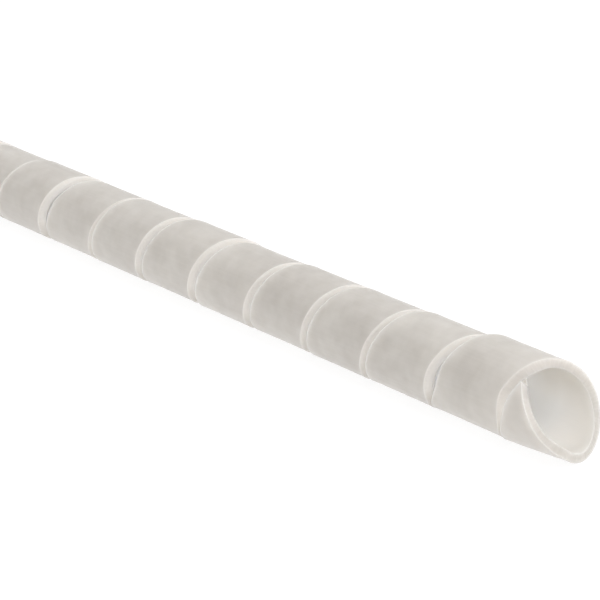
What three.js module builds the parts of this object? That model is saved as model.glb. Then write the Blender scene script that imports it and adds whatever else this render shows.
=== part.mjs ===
// Spiral cable wrap: a polyethylene tube slit along a helix from end to end, so that it is one
// long strip wound in open turns. It lies along X on a level surface at Z = 0, with the square-cut
// end towards -X and the free end, snipped off at a slant and sprung a little open, towards +X.
import * as THREE from "three";

// Driving dimensions, in millimetres
const LENGTH = 1000; // from the square end to the foremost corner of the free end
const OUTER_DIAMETER = 12; // of the relaxed turns, across their flat facets
const WALL = 1.3; // thickness of the strip
const STRIP_WIDTH = 12.28; // along the axis, which is how wide the strip covers a cable
const SLIT = 1.65; // mean gap along the axis between one turn and the next
const END_OPENING = 0.32; // how much the radius grows where the free end has sprung open
const TIP_FLARE = 0.19; // how much more it grows from the underside of the last turn to the tip
const END_SHIFT = 0.73; // how far the free end has sprung towards +Y
const END_CREEP = 0.47; // how far the last turn has slid forwards out of step
const CUT_HOLLOW = 0.48; // how far the slanting cut dips behind a straight line
const POINT_WIDTH = 0.3; // strip left standing where a cut runs out in a point

// Driving turns and angles. Degrees are counted from the top towards -Y.
const OPENED_TURNS = 3.5; // turns over which the free end springs open
const SHIFTED_TURNS = 1.75; // turns over which the free end leaves the axis
const CORNER_DEGREES = 136; // foremost corner, where the slanting cut starts
const TIP_DEGREES = 47; // tip, where the slanting cut runs out
const SIDES = 16; // facets in one turn, one of them flat on the surface below

// The turns don't lie evenly: three slow waves move them along the axis, by a share of the slit
const WAVES = [
  { share: 0.228, turns: 2.33, start: 0.76 },
  { share: 0.212, turns: 2.695, start: 1.714 },
  { share: 0.11, turns: 5.15, start: -0.433 },
];

// Near the free end the knife wandered, so that one edge of the strip lies further forwards, by
// a share of the slit. Each wander fades in, stays and fades out at these turns.
const LEADING_WANDERS = [
  { share: 0.68, start: -1.85, full: -1.6, fading: -1.42, end: -1.17 },
  { share: 0.776, start: -0.96, full: -0.76, fading: -0.314, end: -0.17 },
];
const TRAILING_WANDERS = [
  { share: -0.463, start: -0.563, full: -0.406, fading: -0.406, end: -0.249 },
  { share: 0.305, start: -0.38, full: -0.264, fading: -0.264, end: -0.148 },
  { share: 0.178, start: 0.602, full: 0.703, fading: 0.703, end: 0.804 },
];

const FULL_TURN = 2 * Math.PI;
const pitch = STRIP_WIDTH + SLIT;
const relaxedRadius = OUTER_DIAMETER / 2;
const squareEnd = -LENGTH / 2;
const foremost = LENGTH / 2;

// The strip is followed by a count of turns that grows towards the free end and is a whole number
// at the top. Seen from the free end it runs clockwise towards +X, which is a left-hand helix.
const cornerTurn = 1 - CORNER_DEGREES / 360;
const tipTurn = 1 - TIP_DEGREES / 360;

// Where the last turns are out of step or out of round, in the same count
const CREEP = { from: 0, to: 0.5 };
const FLARE = { from: 0.535, to: 0.77 };

const { lerp, smoothstep } = THREE.MathUtils;

function wave(turn, { share, turns, start }) {
  return share * SLIT * Math.sin((FULL_TURN * (turn + start)) / turns);
}

// How far a turn lies out of step along the axis
function unevenness(turn) {
  const waves = WAVES.reduce((sum, each) => sum + wave(turn, each), 0);
  return waves + END_CREEP * smoothstep(turn, CREEP.from, CREEP.to);
}

function wander(turn, { share, start, full, fading, end }) {
  return share * SLIT * (smoothstep(turn, start, full) - smoothstep(turn, fading, end));
}

// Place along X of the strip's two edges, before either end is cut
function steadyEdge(turn) {
  return foremost + pitch * (turn - cornerTurn) + unevenness(turn) - unevenness(cornerTurn);
}

function leadingEdge(turn) {
  return LEADING_WANDERS.reduce((x, each) => x + wander(turn, each), steadyEdge(turn));
}

function trailingEdge(turn) {
  const behind = steadyEdge(turn) - STRIP_WIDTH;
  return TRAILING_WANDERS.reduce((x, each) => x + wander(turn, each), behind);
}

// The turn at which an edge passes x: each step corrects the turn by what the edge is short of x
function turnWhere(edge, x) {
  let turn = cornerTurn;
  for (let step = 0; step < 12; step += 1) {
    turn += (x - edge(turn)) / pitch;
  }
  return turn;
}

const startTurn = turnWhere(leadingEdge, squareEnd + POINT_WIDTH);
const squareCornerTurn = turnWhere(trailingEdge, squareEnd);

// The slanting cut runs from the foremost corner back to the tip, a little hollow on the way
function leadingSide(turn) {
  if (turn <= cornerTurn) return leadingEdge(turn);
  const along = (turn - cornerTurn) / (tipTurn - cornerTurn);
  const hollow = 4 * CUT_HOLLOW * along * (1 - along);
  return lerp(foremost, trailingEdge(tipTurn) + POINT_WIDTH, along) - hollow;
}

function trailingSide(turn) {
  return Math.max(trailingEdge(turn), squareEnd);
}

// The opened turns keep their underside on the surface, so their centre rises as they open
function centreHeight(turn) {
  return relaxedRadius + END_OPENING * smoothstep(turn, cornerTurn - OPENED_TURNS, cornerTurn);
}

function centreShift(turn) {
  return END_SHIFT * smoothstep(turn, cornerTurn - SHIFTED_TURNS, cornerTurn);
}

// Outer radius at a facet's middle
function facetRadius(turn) {
  return centreHeight(turn) + TIP_FLARE * smoothstep(turn, FLARE.from, FLARE.to);
}

// A point of the strip: depth is measured inwards from the outer skin, square to the facet
function stripPoint(turn, x, depth) {
  const fromFacetMiddle = turn * SIDES - Math.round(turn * SIDES);
  const reach = (facetRadius(turn) - depth) / Math.cos((FULL_TURN * fromFacetMiddle) / SIDES);
  const angle = FULL_TURN * turn;
  const y = centreShift(turn) + reach * Math.sin(angle);
  const z = centreHeight(turn) + reach * Math.cos(angle);
  return new THREE.Vector3(x, y, z);
}

// Turns at which the strip has a cross-section: every edge between two facets, and every corner
function stations() {
  const turns = [startTurn, squareCornerTurn, cornerTurn, tipTurn];
  const tooClose = 0.1 / SIDES;
  const firstEdge = Math.ceil(startTurn * SIDES - 0.5);
  for (let edge = firstEdge; (edge + 0.5) / SIDES < tipTurn; edge += 1) {
    const turn = (edge + 0.5) / SIDES;
    const clear = turns.slice(0, 4).every((corner) => Math.abs(corner - turn) > tooClose);
    if (clear) turns.push(turn);
  }
  return turns.sort((a, b) => a - b);
}

// A box with one slice for each station, wound into the strip: its X runs across the strip, its Y
// along it and its Z through the wall
function woundStrip() {
  const turns = stations();
  const slices = turns.length - 1;
  const geometry = new THREE.BoxGeometry(1, 1, 1, 1, slices, 1);
  const position = geometry.getAttribute("position");
  for (let i = 0; i < position.count; i += 1) {
    const turn = turns[Math.round((position.getY(i) + 0.5) * slices)];
    const x = position.getX(i) > 0 ? leadingSide(turn) : trailingSide(turn);
    const depth = position.getZ(i) > 0 ? 0 : WALL;
    const point = stripPoint(turn, x, depth);
    position.setXYZ(i, point.x, point.y, point.z);
  }
  geometry.computeBoundingBox();
  const { min, max } = geometry.boundingBox;
  geometry.translate(0, -(min.y + max.y) / 2, 0);
  geometry.computeVertexNormals();
  return geometry;
}

const naturalPolyethylene = new THREE.MeshStandardMaterial({
  color: 0xd3cfc9,
  roughness: 0.42,
  metalness: 0,
});

const strip = new THREE.Mesh(woundStrip(), naturalPolyethylene);
strip.name = "spiral_strip";

const cableWrap = new THREE.Group();
cableWrap.add(strip);

export default cableWrap;
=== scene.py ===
"""Spiral cable wrap in natural polyethylene, lying on a plain pale floor.

A tube was extruded, slit along a helix and snipped off. The strip is one surface worked out over
a grid of turns along it and of points round its section.
"""
import math

import bpy
import numpy as np
from mathutils import Matrix, Vector


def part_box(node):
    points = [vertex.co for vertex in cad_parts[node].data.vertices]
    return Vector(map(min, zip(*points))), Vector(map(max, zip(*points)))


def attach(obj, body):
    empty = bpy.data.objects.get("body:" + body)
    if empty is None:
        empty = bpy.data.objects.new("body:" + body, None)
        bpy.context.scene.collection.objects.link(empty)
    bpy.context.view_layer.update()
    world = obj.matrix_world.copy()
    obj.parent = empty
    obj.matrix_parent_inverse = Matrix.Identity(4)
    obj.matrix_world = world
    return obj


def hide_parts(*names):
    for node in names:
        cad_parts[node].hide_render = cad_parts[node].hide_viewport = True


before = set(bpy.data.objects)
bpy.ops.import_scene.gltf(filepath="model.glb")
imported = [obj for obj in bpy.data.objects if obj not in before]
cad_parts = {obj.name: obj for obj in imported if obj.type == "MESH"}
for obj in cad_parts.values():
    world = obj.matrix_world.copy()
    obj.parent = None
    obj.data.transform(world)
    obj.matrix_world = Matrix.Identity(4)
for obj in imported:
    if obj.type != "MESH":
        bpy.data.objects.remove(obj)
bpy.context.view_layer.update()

MM = 0.001
FULL_TURN = 2 * math.pi

# The wrap, in millimetres, as the model that it stands for
OUTER_DIAMETER = 12.0
WALL = 1.3
STRIP_WIDTH = 12.28
SLIT = 1.65
END_OPENING = 0.32
TIP_FLARE = 0.19
END_SHIFT = 0.73
END_CREEP = 0.47
CUT_HOLLOW = 0.48
POINT_WIDTH = 0.3

# Turns and angles, in turns along the strip and in degrees from the top towards -Y
OPENED_TURNS = 3.5
SHIFTED_TURNS = 1.75
CORNER_DEGREES = 136
TIP_DEGREES = 47
WAVES = (  # share of the slit, length in turns, start in turns
    (0.228, 2.33, 0.76),
    (0.212, 2.695, 1.714),
    (0.11, 5.15, -0.433),
)
CREEP_FROM, CREEP_TO = 0.0, 0.5
FLARE_FROM, FLARE_TO = 0.535, 0.77
LEADING_WANDERS = (  # share of the slit, then the turns at which it starts, is full, fades, ends
    (0.68, -1.85, -1.6, -1.42, -1.17),
    (0.776, -0.96, -0.76, -0.314, -0.17),
    (-0.6, -0.98, -0.84, -0.64, -0.5),
    (0.16, 0.25, 0.42, 0.48, 0.6),
)
TRAILING_WANDERS = (
    (-0.6, 0.02, 0.16, 0.36, 0.5),
    (-0.463, -0.563, -0.406, -0.406, -0.249),
    (0.305, -0.38, -0.264, -0.264, -0.148),
    (0.178, 0.602, 0.703, 0.703, 0.804),
)

# What the knife leaves, in millimetres
CUT_ROUND = 0.09  # radius along every cut edge
EDGE_LIFT = 0.05  # the skin stands up towards the slit
EDGE_LIFT_REACH = 0.9  # how far in from the edge that lift fades
EDGE_WHITENED_AND_HIGHLIGHT = 0.35  # how far in from the edge the skin is paler: the plastic's whitening, and a painted highlight
CORNER_SOFTNESS = 0.9  # over which the slit's edge and the slanting cut blend at the corner
CORNER_LIFT = 0.35  # how far the corner has curled up
CORNER_LIFT_REACH = 9.0
CORNER_LIFT_FROM = 0.42  # turn at which the curl starts

# The knife leaned as it slit the near side of the tube, so that both inner edges of the slit lie
# ahead of the outer ones, by this many millimetres. The slanting cut leans the other way near
# the corner, and ahead again at the tip.
SLIT_LEAN = 0.75
SLIT_LEAN_FADE = (-0.6, 0.5)  # shares of the radius towards -Y, where the lean starts and is full
CUT_LEANS = (  # turn, then how many millimetres the inner edge lies ahead of the outer one
    (0.48, 0.0),
    (0.6, -0.12),
    (0.69, -0.26),
    (0.78, -0.16),
    (0.87, 0.28),
)
CUT_LEANS_FROM = 0.25  # turn, on the far side, from which they take the place of the slit's lean
WIDEST_LEAN = 0.6  # share of the strip's width that a lean may take where the strip is narrow

# The last turn bulges where its trailing edge leaves the one before: millimetres, and the turns
# over which the bulge rises and falls
BULGE = 0.42
BULGE_RISE = (0.5, 0.62)
BULGE_FALL = (0.64, 0.8)

# Neighbouring turns stand a little in or out of line: amount in millimetres, length and start
# in turns
RADIUS_WAVE = (0.06, 1.63, 0.3)
SIDE_WAVE = (0.07, 1.87, 0.1)

# Slices of the strip in one turn, and how many turns are near enough to be seen closely
FINE_SLICES = 96
PLAIN_SLICES = 24
FINE_TURNS = 11.5
CLEAR_OF_CORNERS = 0.3 / FINE_SLICES  # turns by which a slice keeps clear of a corner's own

# Points of the strip's section: how many go round each cut edge, and how many millimetres in
# from that edge the ones on the skin and on the bore's wall lie. They draw together where the
# strip is narrower than so many times the furthest of them.
ROUND_POINTS = 4
SPREAD = (0.3, 0.7, 1.3, 2.2, 3.6)
UNCROWDED = 2.2

# Turns over which the slanting cut's rim turns a darker grey, and over which that ends
RIM_DARKER_RISE = (0.05, 0.3)
RIM_DARKER_FALL = (0.68, 0.8)

# The slit's leading face is shut in by the next turn until so many turns before the tip
# Where the face is shut in, it takes painted light: a whiter tone and a painted glow
SHUT_IN_UNTIL = 1.05
SHUT_IN_FADE = 0.08

# Faces whose section points lie nearer to an edge than this, in millimetres, are the knife's cut
CUT_FACES = 0.8 * CUT_ROUND
SHARP_DEGREES = 50

pitch = STRIP_WIDTH + SLIT
strip_low, strip_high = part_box("spiral_strip")
foremost = strip_high.x / MM
square_end = strip_low.x / MM
corner_turn = 1 - CORNER_DEGREES / 360
tip_turn = 1 - TIP_DEGREES / 360


def wave(turn, share, turns, start):
    """share x slit x sin(whole circle x (turn + start) / turns)"""
    return share * SLIT * np.sin(FULL_TURN * (turn + start) / turns)


def smooth_rise(value, low, high):
    """3t^2 - 2t^3 with t = (value - low) / (high - low), held between 0 and 1"""
    t = np.clip((value - low) / (high - low), 0, 1)
    return t * t * (3 - 2 * t)


def unevenness(turn):
    """How far a turn lies out of step along the axis: the slow waves, plus the last turn's
    creep"""
    waves = sum(wave(turn, *each) for each in WAVES)
    return waves + END_CREEP * smooth_rise(turn, CREEP_FROM, CREEP_TO)


def wander(turn, share, start, full, fading, end):
    """share x slit x (rise from start to full, less rise from fading to end)"""
    return share * SLIT * (smooth_rise(turn, start, full) - smooth_rise(turn, fading, end))


def steady_edge(turn):
    """foremost + pitch x (turn - corner turn) + unevenness, less the corner's unevenness"""
    return foremost + pitch * (turn - corner_turn) + unevenness(turn) - unevenness(corner_turn)


def leading_edge(turn):
    """The steady edge plus its wanders"""
    return steady_edge(turn) + sum(wander(turn, *each) for each in LEADING_WANDERS)


def trailing_edge(turn):
    """The steady edge plus its wanders, one strip width behind"""
    wanders = sum(wander(turn, *each) for each in TRAILING_WANDERS)
    return steady_edge(turn) - STRIP_WIDTH + wanders


def turn_where(edge, x):
    """The turn at which edge(turn) = x, by adding (x - edge(turn)) / pitch a dozen times"""
    turn = corner_turn
    for _ in range(12):
        turn += (x - edge(turn)) / pitch
    return turn


start_turn = turn_where(leading_edge, square_end + POINT_WIDTH)
square_corner_turn = turn_where(trailing_edge, square_end)


def centre_height(turn):
    """Half the diameter, plus the end's opening as it rises over the opened turns"""
    opened = smooth_rise(turn, corner_turn - OPENED_TURNS, corner_turn)
    return OUTER_DIAMETER / 2 + END_OPENING * opened


def centre_shift(turn):
    """y = end shift, as it rises over the shifted turns"""
    return END_SHIFT * smooth_rise(turn, corner_turn - SHIFTED_TURNS, corner_turn)


def skin_radius(turn):
    """The centre's height, plus the flare past the underside of the last turn"""
    return centre_height(turn) + TIP_FLARE * smooth_rise(turn, FLARE_FROM, FLARE_TO)


def strip_sides(turn):
    """Trailing and leading x of the strip. The trailing one is the helix edge, cut by the square
    end. The leading one is the lesser of the helix edge and a line from corner to tip that dips
    by 4 x hollow x s x (1 - s), less (softness - their difference)^2 / (4 x softness)"""
    lead = leading_edge(turn)
    trail = np.maximum(trailing_edge(turn), square_end)
    along = (turn - corner_turn) / (tip_turn - corner_turn)
    tip_x = trailing_edge(tip_turn) + POINT_WIDTH
    snipped = foremost + (tip_x - foremost) * along - 4 * CUT_HOLLOW * along * (1 - along)
    blend = np.maximum(CORNER_SOFTNESS - np.abs(lead - snipped), 0) ** 2 / (4 * CORNER_SOFTNESS)
    return trail, np.minimum(lead, snipped) - blend


def slice_turns():
    """Turns of the slices: evenly spaced, closer near the free end, with every corner exact"""
    corners = np.array([start_turn, square_corner_turn, corner_turn, tip_turn])
    fine_from = tip_turn - FINE_TURNS
    plain = np.arange(start_turn, fine_from, 1 / PLAIN_SLICES)
    fine = np.arange(fine_from, tip_turn, 1 / FINE_SLICES)
    turns = np.concatenate([plain, fine])
    near = np.abs(turns[:, None] - corners[None, :]).min(axis=1) < CLEAR_OF_CORNERS
    return np.sort(np.concatenate([turns[~near], corners]))


def section():
    """Points round the strip's section, as (side, inset, depth): side 0 is the trailing edge and
    1 the leading one, inset runs in from that side and depth in from the outer skin. Each edge
    is a quarter circle, inset = rounding x (1 - sin a) and depth = rounding x (1 - cos a), and
    the points beyond it lie at the spread's insets, on the skin and on the bore's wall."""
    quarter = np.radians(np.linspace(0, 90, ROUND_POINTS))
    inset_round = CUT_ROUND * (1 - np.sin(quarter))
    depth_round = CUT_ROUND * (1 - np.cos(quarter))
    spread = np.array(SPREAD)
    flat = np.zeros_like(spread)
    half = np.concatenate([
        np.stack([spread[::-1], flat], 1),
        np.stack([inset_round, depth_round], 1),
    ])
    through = np.array([[0.0, WALL / 2]])
    lower = half[::-1].copy()
    lower[:, 1] = WALL - lower[:, 1]
    one_side = np.concatenate([half, through, lower])
    lead = np.column_stack([np.ones(len(one_side)), one_side])
    trail = np.column_stack([np.zeros(len(one_side)), one_side[::-1]])
    return np.concatenate([lead, trail])


def ripple(turn, amount, turns, start):
    """amount x sin(whole circle x (turn + start) / turns)"""
    return amount * np.sin(FULL_TURN * (turn + start) / turns)


def wound_strip():
    """For a slice at turn t and a point of the section:
    R = skin radius + radius ripple + bulge x (1 - share of the strip's width from its trailing
    edge) + edge lift x e^(-inset / reach) - depth,
    x = the side's x, moved in by the inset and ahead by the knife's lean x depth / wall,
    y = shift + side ripple + R sin(2 pi t),
    z = centre height + radius ripple + R cos(2 pi t).
    The inset shrinks where the strip is narrow, and the slit's lean fades out towards +Y. Low on
    the last turn, z gains the corner's lift as x nears the corner."""
    turns = slice_turns()
    points = section()
    side, inset, depth = points[:, 0], points[:, 1], points[:, 2]
    trail, lead = strip_sides(turns)
    room = np.minimum(1, (lead - trail) / (UNCROWDED * inset.max()))
    moved = inset[None, :] * room[:, None]

    widest = WIDEST_LEAN * (lead - trail)
    slit_lean = SLIT_LEAN * smooth_rise(-np.sin(FULL_TURN * turns), *SLIT_LEAN_FADE)
    cut_lean = np.interp(turns, *zip(*CUT_LEANS))
    lead_lean = np.maximum(np.where(turns < CUT_LEANS_FROM, slit_lean, cut_lean), -widest)
    trail_lean = np.where(trail > square_end, np.minimum(slit_lean, widest), 0.0)
    inwards = depth[None, :] / WALL
    x = np.where(side > 0.5, lead[:, None] - moved + lead_lean[:, None] * inwards,
                 trail[:, None] + moved + trail_lean[:, None] * inwards)

    lift = EDGE_LIFT * np.exp(-inset / EDGE_LIFT_REACH)
    swollen = ripple(turns, *RADIUS_WAVE)
    bulge = BULGE * (smooth_rise(turns, *BULGE_RISE) - smooth_rise(turns, *BULGE_FALL))
    from_trail = np.clip((x - trail[:, None]) / STRIP_WIDTH, 0, 1)
    radius = (skin_radius(turns) + swollen)[:, None] + bulge[:, None] * (1 - from_trail)
    reach = radius + lift[None, :] - depth[None, :]
    angle = FULL_TURN * turns[:, None]
    sideways = centre_shift(turns) + ripple(turns, *SIDE_WAVE)
    y = sideways[:, None] + reach * np.sin(angle)
    z = (centre_height(turns) + swollen)[:, None] + reach * np.cos(angle)

    curl = CORNER_LIFT * smooth_rise(x, foremost - CORNER_LIFT_REACH, foremost)
    curl = curl * smooth_rise(turns, CORNER_LIFT_FROM, corner_turn)[:, None]
    z = z + curl * smooth_rise(-np.cos(angle), 0, 1)
    return turns, points, np.stack([x, y, z], axis=2)


def grid_faces(rows, columns):
    """Quads between neighbouring slices, closed round the section. At each end a cap pairs the
    section's two halves: quad a joins points a and a + 1 to the same two counted from the end"""
    i = np.arange(rows - 1)[:, None]
    j = np.arange(columns)[None, :]
    k = (j + 1) % columns
    quads = np.stack([i * columns + j, (i + 1) * columns + j,
                      (i + 1) * columns + k, i * columns + k], axis=2).reshape(-1, 4)
    half = columns // 2
    a = np.arange(half - 1)
    cap = np.stack([a, a + 1, columns - 2 - a, columns - 1 - a], axis=1)
    last = cap[:, ::-1] + (rows - 1) * columns
    return np.concatenate([quads, cap, last])


def linear(hex_colour):
    """sRGB hex to linear red, green and blue, each as ((c + 0.055) / 1.055)^2.4, plus alpha 1"""
    channels = [int(hex_colour[i:i + 2], 16) / 255 for i in (1, 3, 5)]
    return tuple(c / 12.92 if c <= 0.04045 else ((c + 0.055) / 1.055) ** 2.4
                 for c in channels) + (1.0,)


def add(tree, kind, inputs=None, output=None, stops=(), **settings):
    """Adds a node of that kind and gives it back, or the one output that is named. Each input
    takes a number, a colour or another node's output. A colour ramp takes its stops as pairs of
    a place and a colour."""
    made = tree.nodes.new(kind)
    for name, value in settings.items():
        setattr(made, name, value)
    for socket, value in (inputs or {}).items():
        if isinstance(value, bpy.types.NodeSocket):
            tree.links.new(value, made.inputs[socket])
        else:
            made.inputs[socket].default_value = value
    if stops:
        elements = made.color_ramp.elements
        while len(elements) < len(stops):
            elements.new(0.5)
        for element, (where, colour) in zip(elements, stops):
            element.position = where
            element.color = colour
    return made.outputs[output] if output else made


def new_material(name):
    """An empty material of that name, and its node tree"""
    material = bpy.data.materials.new(name)
    material.use_nodes = True
    material.node_tree.nodes.clear()
    return material, material.node_tree


# Natural polyethylene is milky: light goes a few millimetres into it, which is more than the
# wall, and comes out the other side. These are the depths as its three surfaces show them.
MILKY = {"IOR": 1.51, "Subsurface Weight": 1.0, "Subsurface Radius": (1.0, 0.97, 0.92)}
SKIN_DEPTH = 2.5
CUT_DEPTH = 3.0
BORE_DEPTH = 4.0

# Sizes of the patterns, in millimetres. The lines that the die leaves are a tenth of a
# millimetre apart in truth, and are drawn four and six times as wide, so that they show.
CLOUD = 8.0
MOTTLE = 2.2
DIE_LINE = 0.4
BORE_CLOUD = 6.0
BORE_LINE = 0.6
BLADE_MARKS = 3.0  # in one millimetre along a cut
DRAWN_OUT = (0.02, 1.0, 1.0)  # coordinates squeezed along X, so that noise runs in lines there
THROUGH_WALL = (1.0, 0.2, 1.0)  # the same for the blade's marks, which run through the wall

# Where a painted tone starts and where it is full, in millimetres: behind the foremost corner, or
# up from the floor. Each of these paints light or shade into the plastic's colour.
SKIN_LIT_NEAR_END = (17, 9)
BORE_SHADED_NEAR_END = (11, 3)
BORE_LIT_DEEP_IN = (14, 20)
BORE_LIT_LOW = (8.5, 3.5)
LOW_CUT = (4.5, 1.5)

# Shares of the tones at their fullest: painted light on the skin near the open end, the whitening
# and painted highlight along a cut, and the darker fade of the slits' painted light towards the
# floor
SKIN_LIT_NEAR_END_SHARE = 0.5
WHITENED_AND_HIGHLIGHT_SHARE = 0.22
LOW_CUT_SHARE = 0.85
SLIT_PAINTED_GLOW = 0.125  # painted glow: light that comes out of a slit's face, deepest in the wall, for light through the milky wall


def polyethylene_skin():
    """Extruded natural polyethylene: milky, with a waxy satin skin. The cooled melt is cloudy in
    patches, and the die leaves faint lines along the tube. Near the open end the skin is painted
    paler, a painted light for light that comes through the wall from the bore, and along a cut it
    is paler too, partly the stretched plastic's whitening and partly a painted highlight on the
    edge."""
    material, tree = new_material("natural_polyethylene_extruded_skin")
    place = add(tree, "ShaderNodeTexCoord", output="Object")
    drawn = add(tree, "ShaderNodeMapping", {"Vector": place, "Scale": DRAWN_OUT}, "Vector")
    cloud = add(tree, "ShaderNodeTexNoise", {"Vector": place, "Scale": 1 / (CLOUD * MM)}, "Fac")
    mottle = add(tree, "ShaderNodeTexNoise", {"Vector": place, "Scale": 1 / (MOTTLE * MM)}, "Fac")
    lines = add(tree, "ShaderNodeTexNoise", {"Vector": drawn, "Scale": 1 / (DIE_LINE * MM)}, "Fac")
    tone = add(tree, "ShaderNodeValToRGB", {"Fac": cloud}, "Color",
               stops=[(0.3, linear("#bbb6b0")), (0.7, linear("#cac6c0"))])
    mottled = add(tree, "ShaderNodeValToRGB", {"Fac": mottle}, "Color",
                  stops=[(0.3, linear("#b7b2ab")), (0.7, linear("#cdc9c4"))])
    tone = add(tree, "ShaderNodeMix", {"Factor": 0.35, "A": tone, "B": mottled}, "Result",
               data_type="RGBA")
    lined = add(tree, "ShaderNodeValToRGB", {"Fac": lines}, "Color",
                stops=[(0.35, linear("#a8a39c")), (0.65, linear("#d8d5d1"))])
    tone = add(tree, "ShaderNodeMix", {"Factor": 0.05, "A": tone, "B": lined}, "Result",
               data_type="RGBA")
    x = add(tree, "ShaderNodeSeparateXYZ", {"Vector": place}, "X")
    # Painted light: the skin is paler near the open end, standing in for light that comes through
    # the wall from the bore
    lit_near_end = add(tree, "ShaderNodeMapRange", {
        "Value": x, "From Min": strip_high.x - SKIN_LIT_NEAR_END[0] * MM,
        "From Max": strip_high.x - SKIN_LIT_NEAR_END[1] * MM, "To Max": SKIN_LIT_NEAR_END_SHARE}, "Result")
    tone = add(tree, "ShaderNodeMix", {"Factor": lit_near_end, "A": tone, "B": linear("#d0ccc7")},
               "Result", data_type="RGBA")
    from_edge = add(tree, "ShaderNodeAttribute", output="Fac", attribute_name="from_edge")
    # Along a cut the skin is paler, partly the stretched plastic's whitening and partly a painted
    # highlight on the edge
    whitened_and_highlight = add(tree, "ShaderNodeMapRange", {
        "Value": from_edge, "From Max": EDGE_WHITENED_AND_HIGHLIGHT, "To Min": WHITENED_AND_HIGHLIGHT_SHARE,
        "To Max": 0.0}, "Result")
    tone = add(tree, "ShaderNodeMix", {"Factor": whitened_and_highlight, "A": tone, "B": linear("#d8d4cf")},
               "Result", data_type="RGBA")
    satin = add(tree, "ShaderNodeMapRange", {"Value": cloud, "To Min": 0.3, "To Max": 0.44},
                "Result")
    bump = add(tree, "ShaderNodeBump", {"Height": lines, "Strength": 0.15, "Distance": 0.02 * MM},
               "Normal")
    skin = add(tree, "ShaderNodeBsdfPrincipled", {
        **MILKY, "Subsurface Scale": SKIN_DEPTH * MM, "Base Color": tone, "Roughness": satin,
        "Normal": bump}, "BSDF")
    add(tree, "ShaderNodeOutputMaterial", {"Surface": skin})
    return material


def polyethylene_cut():
    """The same plastic where a knife went through it: duller than the skin, with fine marks
    through the wall that the blade left as the tube turned. Between two turns the cut is painted
    light: a whiter tone, whiter still deeper in the wall, and a painted glow, which stand in for
    light that comes through the milky wall where the next turn shades the face; towards the floor
    it is no paler than the skin. On the open end it is greyer, most of all low down."""
    material, tree = new_material("natural_polyethylene_knife_cut")
    along = add(tree, "ShaderNodeAttribute", output="Fac", attribute_name="along")
    depth = add(tree, "ShaderNodeAttribute", output="Fac", attribute_name="depth")
    shut_in = add(tree, "ShaderNodeAttribute", output="Fac", attribute_name="shut_in")
    rim_darker = add(tree, "ShaderNodeAttribute", output="Fac", attribute_name="rim_darker")
    place = add(tree, "ShaderNodeCombineXYZ", {"X": along, "Y": depth}, "Vector")
    through = add(tree, "ShaderNodeMapping", {"Vector": place, "Scale": THROUGH_WALL}, "Vector")
    marks = add(tree, "ShaderNodeTexNoise", {"Vector": through, "Scale": BLADE_MARKS,
                                             "Detail": 3.0, "Roughness": 0.6}, "Fac")
    # The open end's faces are a plain grey
    open_end = add(tree, "ShaderNodeValToRGB", {"Fac": marks}, "Color",
                  stops=[(0.3, linear("#c6c1bb")), (0.7, linear("#d0cbc6"))])
    # The low part of the open end's rim is a darker grey
    rim_darker_tone = add(tree, "ShaderNodeValToRGB", {"Fac": marks}, "Color",
               stops=[(0.3, linear("#b9b5af")), (0.7, linear("#c4c0bb"))])
    open_end = add(tree, "ShaderNodeMix", {"Factor": rim_darker, "A": open_end, "B": rim_darker_tone}, "Result",
                  data_type="RGBA")
    # Painted light: the slit's faces are whiter, whiter still deeper in the wall, and darker again
    # towards the floor
    slit_painted_light = add(tree, "ShaderNodeValToRGB", {"Fac": marks}, "Color",
                stops=[(0.3, linear("#d3cec8")), (0.7, linear("#dad5cf"))])
    deeper = add(tree, "ShaderNodeMapRange", {"Value": depth, "From Max": WALL}, "Result")
    slit_painted_light = add(tree, "ShaderNodeMix", {"Factor": deeper, "A": slit_painted_light, "B": linear("#f2eee8")},
                "Result", data_type="RGBA")
    object_place = add(tree, "ShaderNodeTexCoord", output="Object")
    height = add(tree, "ShaderNodeSeparateXYZ", {"Vector": object_place}, "Z")
    low = add(tree, "ShaderNodeMapRange", {
        "Value": height, "From Min": LOW_CUT[0] * MM, "From Max": LOW_CUT[1] * MM,
        "To Max": LOW_CUT_SHARE}, "Result")
    slit_painted_light = add(tree, "ShaderNodeMix", {"Factor": low, "A": slit_painted_light, "B": linear("#c2bdb7")},
                "Result", data_type="RGBA")
    tone = add(tree, "ShaderNodeMix", {"Factor": shut_in, "A": open_end, "B": slit_painted_light}, "Result",
               data_type="RGBA")
    # Painted glow on the slit's faces, strongest deepest in the wall
    lit = add(tree, "ShaderNodeMath", {0: deeper, 1: shut_in}, "Value", operation="MULTIPLY")
    painted_glow = add(tree, "ShaderNodeMath", {0: lit, 1: SLIT_PAINTED_GLOW}, "Value", operation="MULTIPLY")
    bump = add(tree, "ShaderNodeBump", {"Height": marks, "Strength": 0.3, "Distance": 0.03 * MM},
               "Normal")
    cut = add(tree, "ShaderNodeBsdfPrincipled", {
        **MILKY, "Subsurface Scale": CUT_DEPTH * MM, "Base Color": tone, "Roughness": 0.55,
        "Normal": bump, "Emission Color": linear("#fff8f0"), "Emission Strength": painted_glow}, "BSDF")
    add(tree, "ShaderNodeOutputMaterial", {"Surface": cut})
    return material


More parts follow.
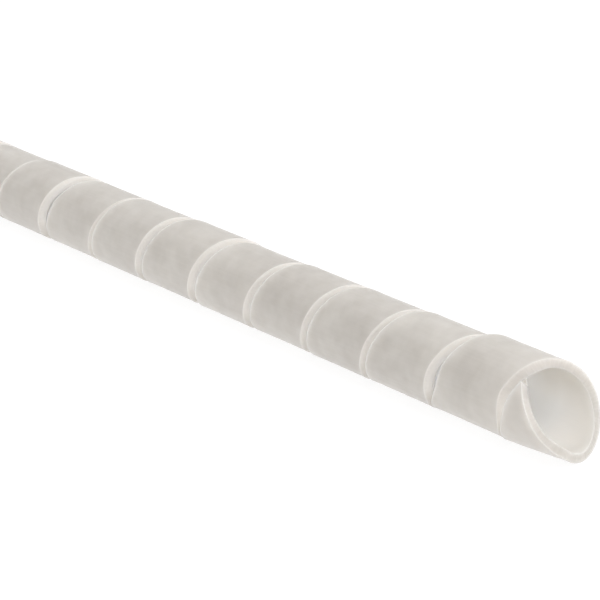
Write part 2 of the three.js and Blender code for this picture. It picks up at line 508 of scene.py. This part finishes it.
def polyethylene_bore():
    """The wall of the bore, which no die has polished: dull, with the faint lines of the extrusion
    along it. It is painted whiter low down, a painted light for the floor's light that comes up
    through the wall, and whiter still deep in, a painted light where the bore lies in shade; near
    the open end it is painted greyer, a painted shade that evens out the light coming in there."""
    material, tree = new_material("natural_polyethylene_bore_wall")
    place = add(tree, "ShaderNodeTexCoord", output="Object")
    axes = add(tree, "ShaderNodeSeparateXYZ", {"Vector": place}).outputs
    drawn = add(tree, "ShaderNodeMapping", {"Vector": place, "Scale": DRAWN_OUT}, "Vector")
    lines = add(tree, "ShaderNodeTexNoise", {"Vector": drawn, "Scale": 1 / (BORE_LINE * MM)}, "Fac")
    cloud = add(tree, "ShaderNodeTexNoise", {"Vector": place, "Scale": 1 / (BORE_CLOUD * MM)},
                "Fac")
    tone = add(tree, "ShaderNodeValToRGB", {"Fac": cloud}, "Color",
               stops=[(0.3, linear("#dad7d2")), (0.7, linear("#e2dfdb"))])
    # Painted light: the bore is whiter low down, standing in for the floor's light that comes up
    # through the wall
    low = add(tree, "ShaderNodeMapRange", {
        "Value": axes["Z"], "From Min": BORE_LIT_LOW[0] * MM, "From Max": BORE_LIT_LOW[1] * MM}, "Result",
        interpolation_type="SMOOTHSTEP")
    tone = add(tree, "ShaderNodeMix", {"Factor": low, "A": tone, "B": linear("#fbf7f2")},
               "Result", data_type="RGBA")
    # Painted light: the bore is whiter deep in, where it lies in shade
    lit_deep_in = add(tree, "ShaderNodeMapRange", {
        "Value": axes["X"], "From Min": strip_high.x - BORE_LIT_DEEP_IN[0] * MM,
        "From Max": strip_high.x - BORE_LIT_DEEP_IN[1] * MM}, "Result")
    tone = add(tree, "ShaderNodeMix", {"Factor": lit_deep_in, "A": tone, "B": linear("#fdfbf9")},
               "Result", data_type="RGBA")
    # Painted shade: the bore is greyer near the open end, evening out the light that comes in there
    open_end = add(tree, "ShaderNodeMapRange", {
        "Value": axes["X"], "From Min": strip_high.x - BORE_SHADED_NEAR_END[0] * MM,
        "From Max": strip_high.x - BORE_SHADED_NEAR_END[1] * MM}, "Result")
    tone = add(tree, "ShaderNodeMix", {"Factor": open_end, "A": tone, "B": linear("#c9c6c1")},
               "Result", data_type="RGBA")
    bump = add(tree, "ShaderNodeBump", {"Height": lines, "Strength": 0.3, "Distance": 0.03 * MM},
               "Normal")
    wall = add(tree, "ShaderNodeBsdfPrincipled", {
        **MILKY, "Subsurface Scale": BORE_DEPTH * MM, "Base Color": tone, "Roughness": 0.6,
        "Normal": bump}, "BSDF")
    add(tree, "ShaderNodeOutputMaterial", {"Surface": wall})
    return material


def set_attribute(mesh, name, values):
    """Gives every point of the mesh its value, in the order of the grid"""
    made = mesh.attributes.new(name, "FLOAT", "POINT")
    made.data.foreach_set("value", np.ascontiguousarray(values, np.float32).ravel())


SKIN, CUT, BORE = 0, 1, 2  # the mesh's materials, in the order in which it takes them


def make_strip():
    """The wound strip as one mesh, with the middle of its breadth at y = 0. Each point keeps its
    inset and depth, its way along the strip as turns x pi x diameter, how far it is shut in, and
    how far the rim's darker grey reaches it. A face is cut where both of its section points lie by
    an edge, or on an end cap, bore where both are deeper than half the wall, and skin elsewhere."""
    turns, points, place = wound_strip()
    rows, columns = place.shape[:2]
    place[:, :, 1] -= (place[:, :, 1].min() + place[:, :, 1].max()) / 2
    faces = grid_faces(rows, columns)
    mesh = bpy.data.meshes.new("spiral_strip_skin")
    mesh.from_pydata((place.reshape(-1, 3) * MM).tolist(), [], faces.tolist())
    mesh.materials.append(polyethylene_skin())
    mesh.materials.append(polyethylene_cut())
    mesh.materials.append(polyethylene_bore())

    inset, depth = points[:, 1], points[:, 2]
    way = turns * (math.pi * OUTER_DIAMETER)
    # shut_in marks the slit faces that take the painted light and painted glow
    in_slit = smooth_rise(tip_turn - SHUT_IN_UNTIL - turns, -SHUT_IN_FADE, SHUT_IN_FADE)
    low_rim = smooth_rise(turns, *RIM_DARKER_RISE) * (1 - smooth_rise(turns, *RIM_DARKER_FALL))
    set_attribute(mesh, "from_edge", np.broadcast_to(inset, (rows, columns)))
    set_attribute(mesh, "depth", np.broadcast_to(depth, (rows, columns)))
    set_attribute(mesh, "along", np.broadcast_to(way[:, None], (rows, columns)))
    set_attribute(mesh, "shut_in", np.where(points[:, 0] > 0.5, in_slit[:, None], 1.0))
    set_attribute(mesh, "rim_darker", np.broadcast_to(low_rim[:, None], (rows, columns)))

    after = np.roll(np.arange(columns), -1)
    on_cut = np.maximum(inset, inset[after]) < CUT_FACES
    in_bore = np.minimum(depth, depth[after]) > WALL / 2
    kind = np.where(on_cut, CUT, np.where(in_bore, BORE, SKIN))
    on_ends = np.full(len(faces) - (rows - 1) * columns, CUT)
    slot = np.concatenate([np.tile(kind, rows - 1), on_ends])
    mesh.polygons.foreach_set("material_index", slot.astype(np.int32))
    mesh.polygons.foreach_set("use_smooth", np.ones(len(faces), bool))
    mesh.update()
    mesh.set_sharp_from_angle(angle=math.radians(SHARP_DEGREES))

    piece = bpy.data.objects.new("spiral_strip_skin", mesh)
    bpy.context.collection.objects.link(piece)
    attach(piece, "root")
    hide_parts("spiral_strip")


# The floor is a sheet of opal plastic lit from below, which leaves almost no shadow. It is twice
# this many metres wide, which is wider than any view of the wrap.
FLOOR_REACH = 6.0
FLOOR_GLOW = 0.85
FLOOR_TONE = "#7a7a7a"


def make_floor():
    """A plain pale sheet under the wrap: a square at z = 0, from -reach to reach in x and y"""
    r = FLOOR_REACH
    mesh = bpy.data.meshes.new("floor")
    mesh.from_pydata([(-r, -r, 0), (r, -r, 0), (r, r, 0), (-r, r, 0)], [], [(0, 1, 2, 3)])
    material, tree = new_material("pale_studio_floor")
    matt = add(tree, "ShaderNodeBsdfPrincipled", {
        "Base Color": linear(FLOOR_TONE), "Roughness": 0.9, "Emission Color": linear("#ffffff"),
        "Emission Strength": FLOOR_GLOW}, "BSDF")
    add(tree, "ShaderNodeOutputMaterial", {"Surface": matt})
    mesh.materials.append(material)
    floor = bpy.data.objects.new("floor", mesh)
    bpy.context.collection.objects.link(floor)


# The picture is 600 pixels wide and high. A point near the middle of the free end is seen at this
# place in it: so many millimetres ahead of the foremost corner, and to +Y, at half the diameter's
# height.
PICTURE = 600
END_PIXEL = (597.95, 429.61)
END_AHEAD = 2.01
END_ASIDE = -0.41
SENSOR = 36.0
LENS = 166.42
CAMERA_AZIMUTH = 52.29
CAMERA_ELEVATION = 19.709
CAMERA_ROLL = -0.827
CAMERA_DISTANCE = 0.3663
NEAREST = 0.01


def make_camera():
    """The camera stands back from the free end along its view line, then moves sideways in its
    own plane until that end is seen at its pixel: place = end + back x distance - right x pixels
    across x size of a pixel + up x pixels down x size of a pixel"""
    a, e = math.radians(CAMERA_AZIMUTH), math.radians(CAMERA_ELEVATION)
    back = Vector((math.sin(a) * math.cos(e), -math.cos(a) * math.cos(e), math.sin(e)))
    level_right = Vector((math.cos(a), math.sin(a), 0))
    right = Matrix.Rotation(math.radians(CAMERA_ROLL), 3, back) @ level_right
    up = back.cross(right)
    per_pixel = CAMERA_DISTANCE * SENSOR / (LENS * PICTURE)
    end = Vector((strip_high.x + END_AHEAD * MM, END_ASIDE * MM, OUTER_DIAMETER / 2 * MM))
    sideways = (END_PIXEL[0] - PICTURE / 2) * per_pixel
    downwards = (END_PIXEL[1] - PICTURE / 2) * per_pixel
    data = bpy.data.cameras.new("camera")
    data.lens = LENS
    data.sensor_width = SENSOR
    data.clip_start = NEAREST
    camera = bpy.data.objects.new("camera", data)
    bpy.context.collection.objects.link(camera)
    place = end + back * CAMERA_DISTANCE - right * sideways + up * downwards
    axes = Matrix((right, up, back)).transposed().to_4x4()
    camera.matrix_world = Matrix.Translation(place) @ axes
    bpy.context.scene.camera = camera


# Brightness of the room, from level with the floor to straight up: white walls that are dimmer
# low down, and a white ceiling
ROOM = ((0.0, 0.62), (0.3, 0.68), (0.65, 1.05), (1.0, 1.15))


def make_softbox(name, size, watts, place, target):
    """A softbox of that size in metres, at that place, that faces the target"""
    data = bpy.data.lights.new(name, "AREA")
    data.shape = "RECTANGLE"
    data.size, data.size_y = size
    data.energy = watts
    lamp = bpy.data.objects.new(name, data)
    lamp.location = place
    lamp.rotation_euler = (Vector(place) - Vector(target)).to_track_quat("Z", "Y").to_euler()
    bpy.context.collection.objects.link(lamp)


def make_lights():
    """The room's light, a softbox overhead and a small one that shines into the open end"""
    world = bpy.data.worlds.new("studio")
    world.use_nodes = True
    tree = world.node_tree
    tree.nodes.clear()
    direction = add(tree, "ShaderNodeTexCoord", output="Generated")
    height = add(tree, "ShaderNodeSeparateXYZ", {"Vector": direction}, "Z")
    brightness = add(tree, "ShaderNodeValToRGB", {"Fac": height}, "Color",
                     stops=[(where, (grey, grey, grey, 1)) for where, grey in ROOM])
    background = add(tree, "ShaderNodeBackground", {"Color": brightness, "Strength": 1.0},
                     "Background")
    add(tree, "ShaderNodeOutputWorld", {"Surface": background})
    bpy.context.scene.world = world
    make_softbox("top_softbox", (1.2, 0.8), 2.0, (0.4, 0.0, 1.3), (0.4, 0.0, 0.0))
    make_softbox("end_softbox", (0.25, 0.25), 0.7, (0.98, 0.21, 0.3), (0.49, 0.0, 0.006))


make_camera()
make_strip()
make_floor()
make_lights()
bpy.context.scene.view_settings.view_transform = "Standard"
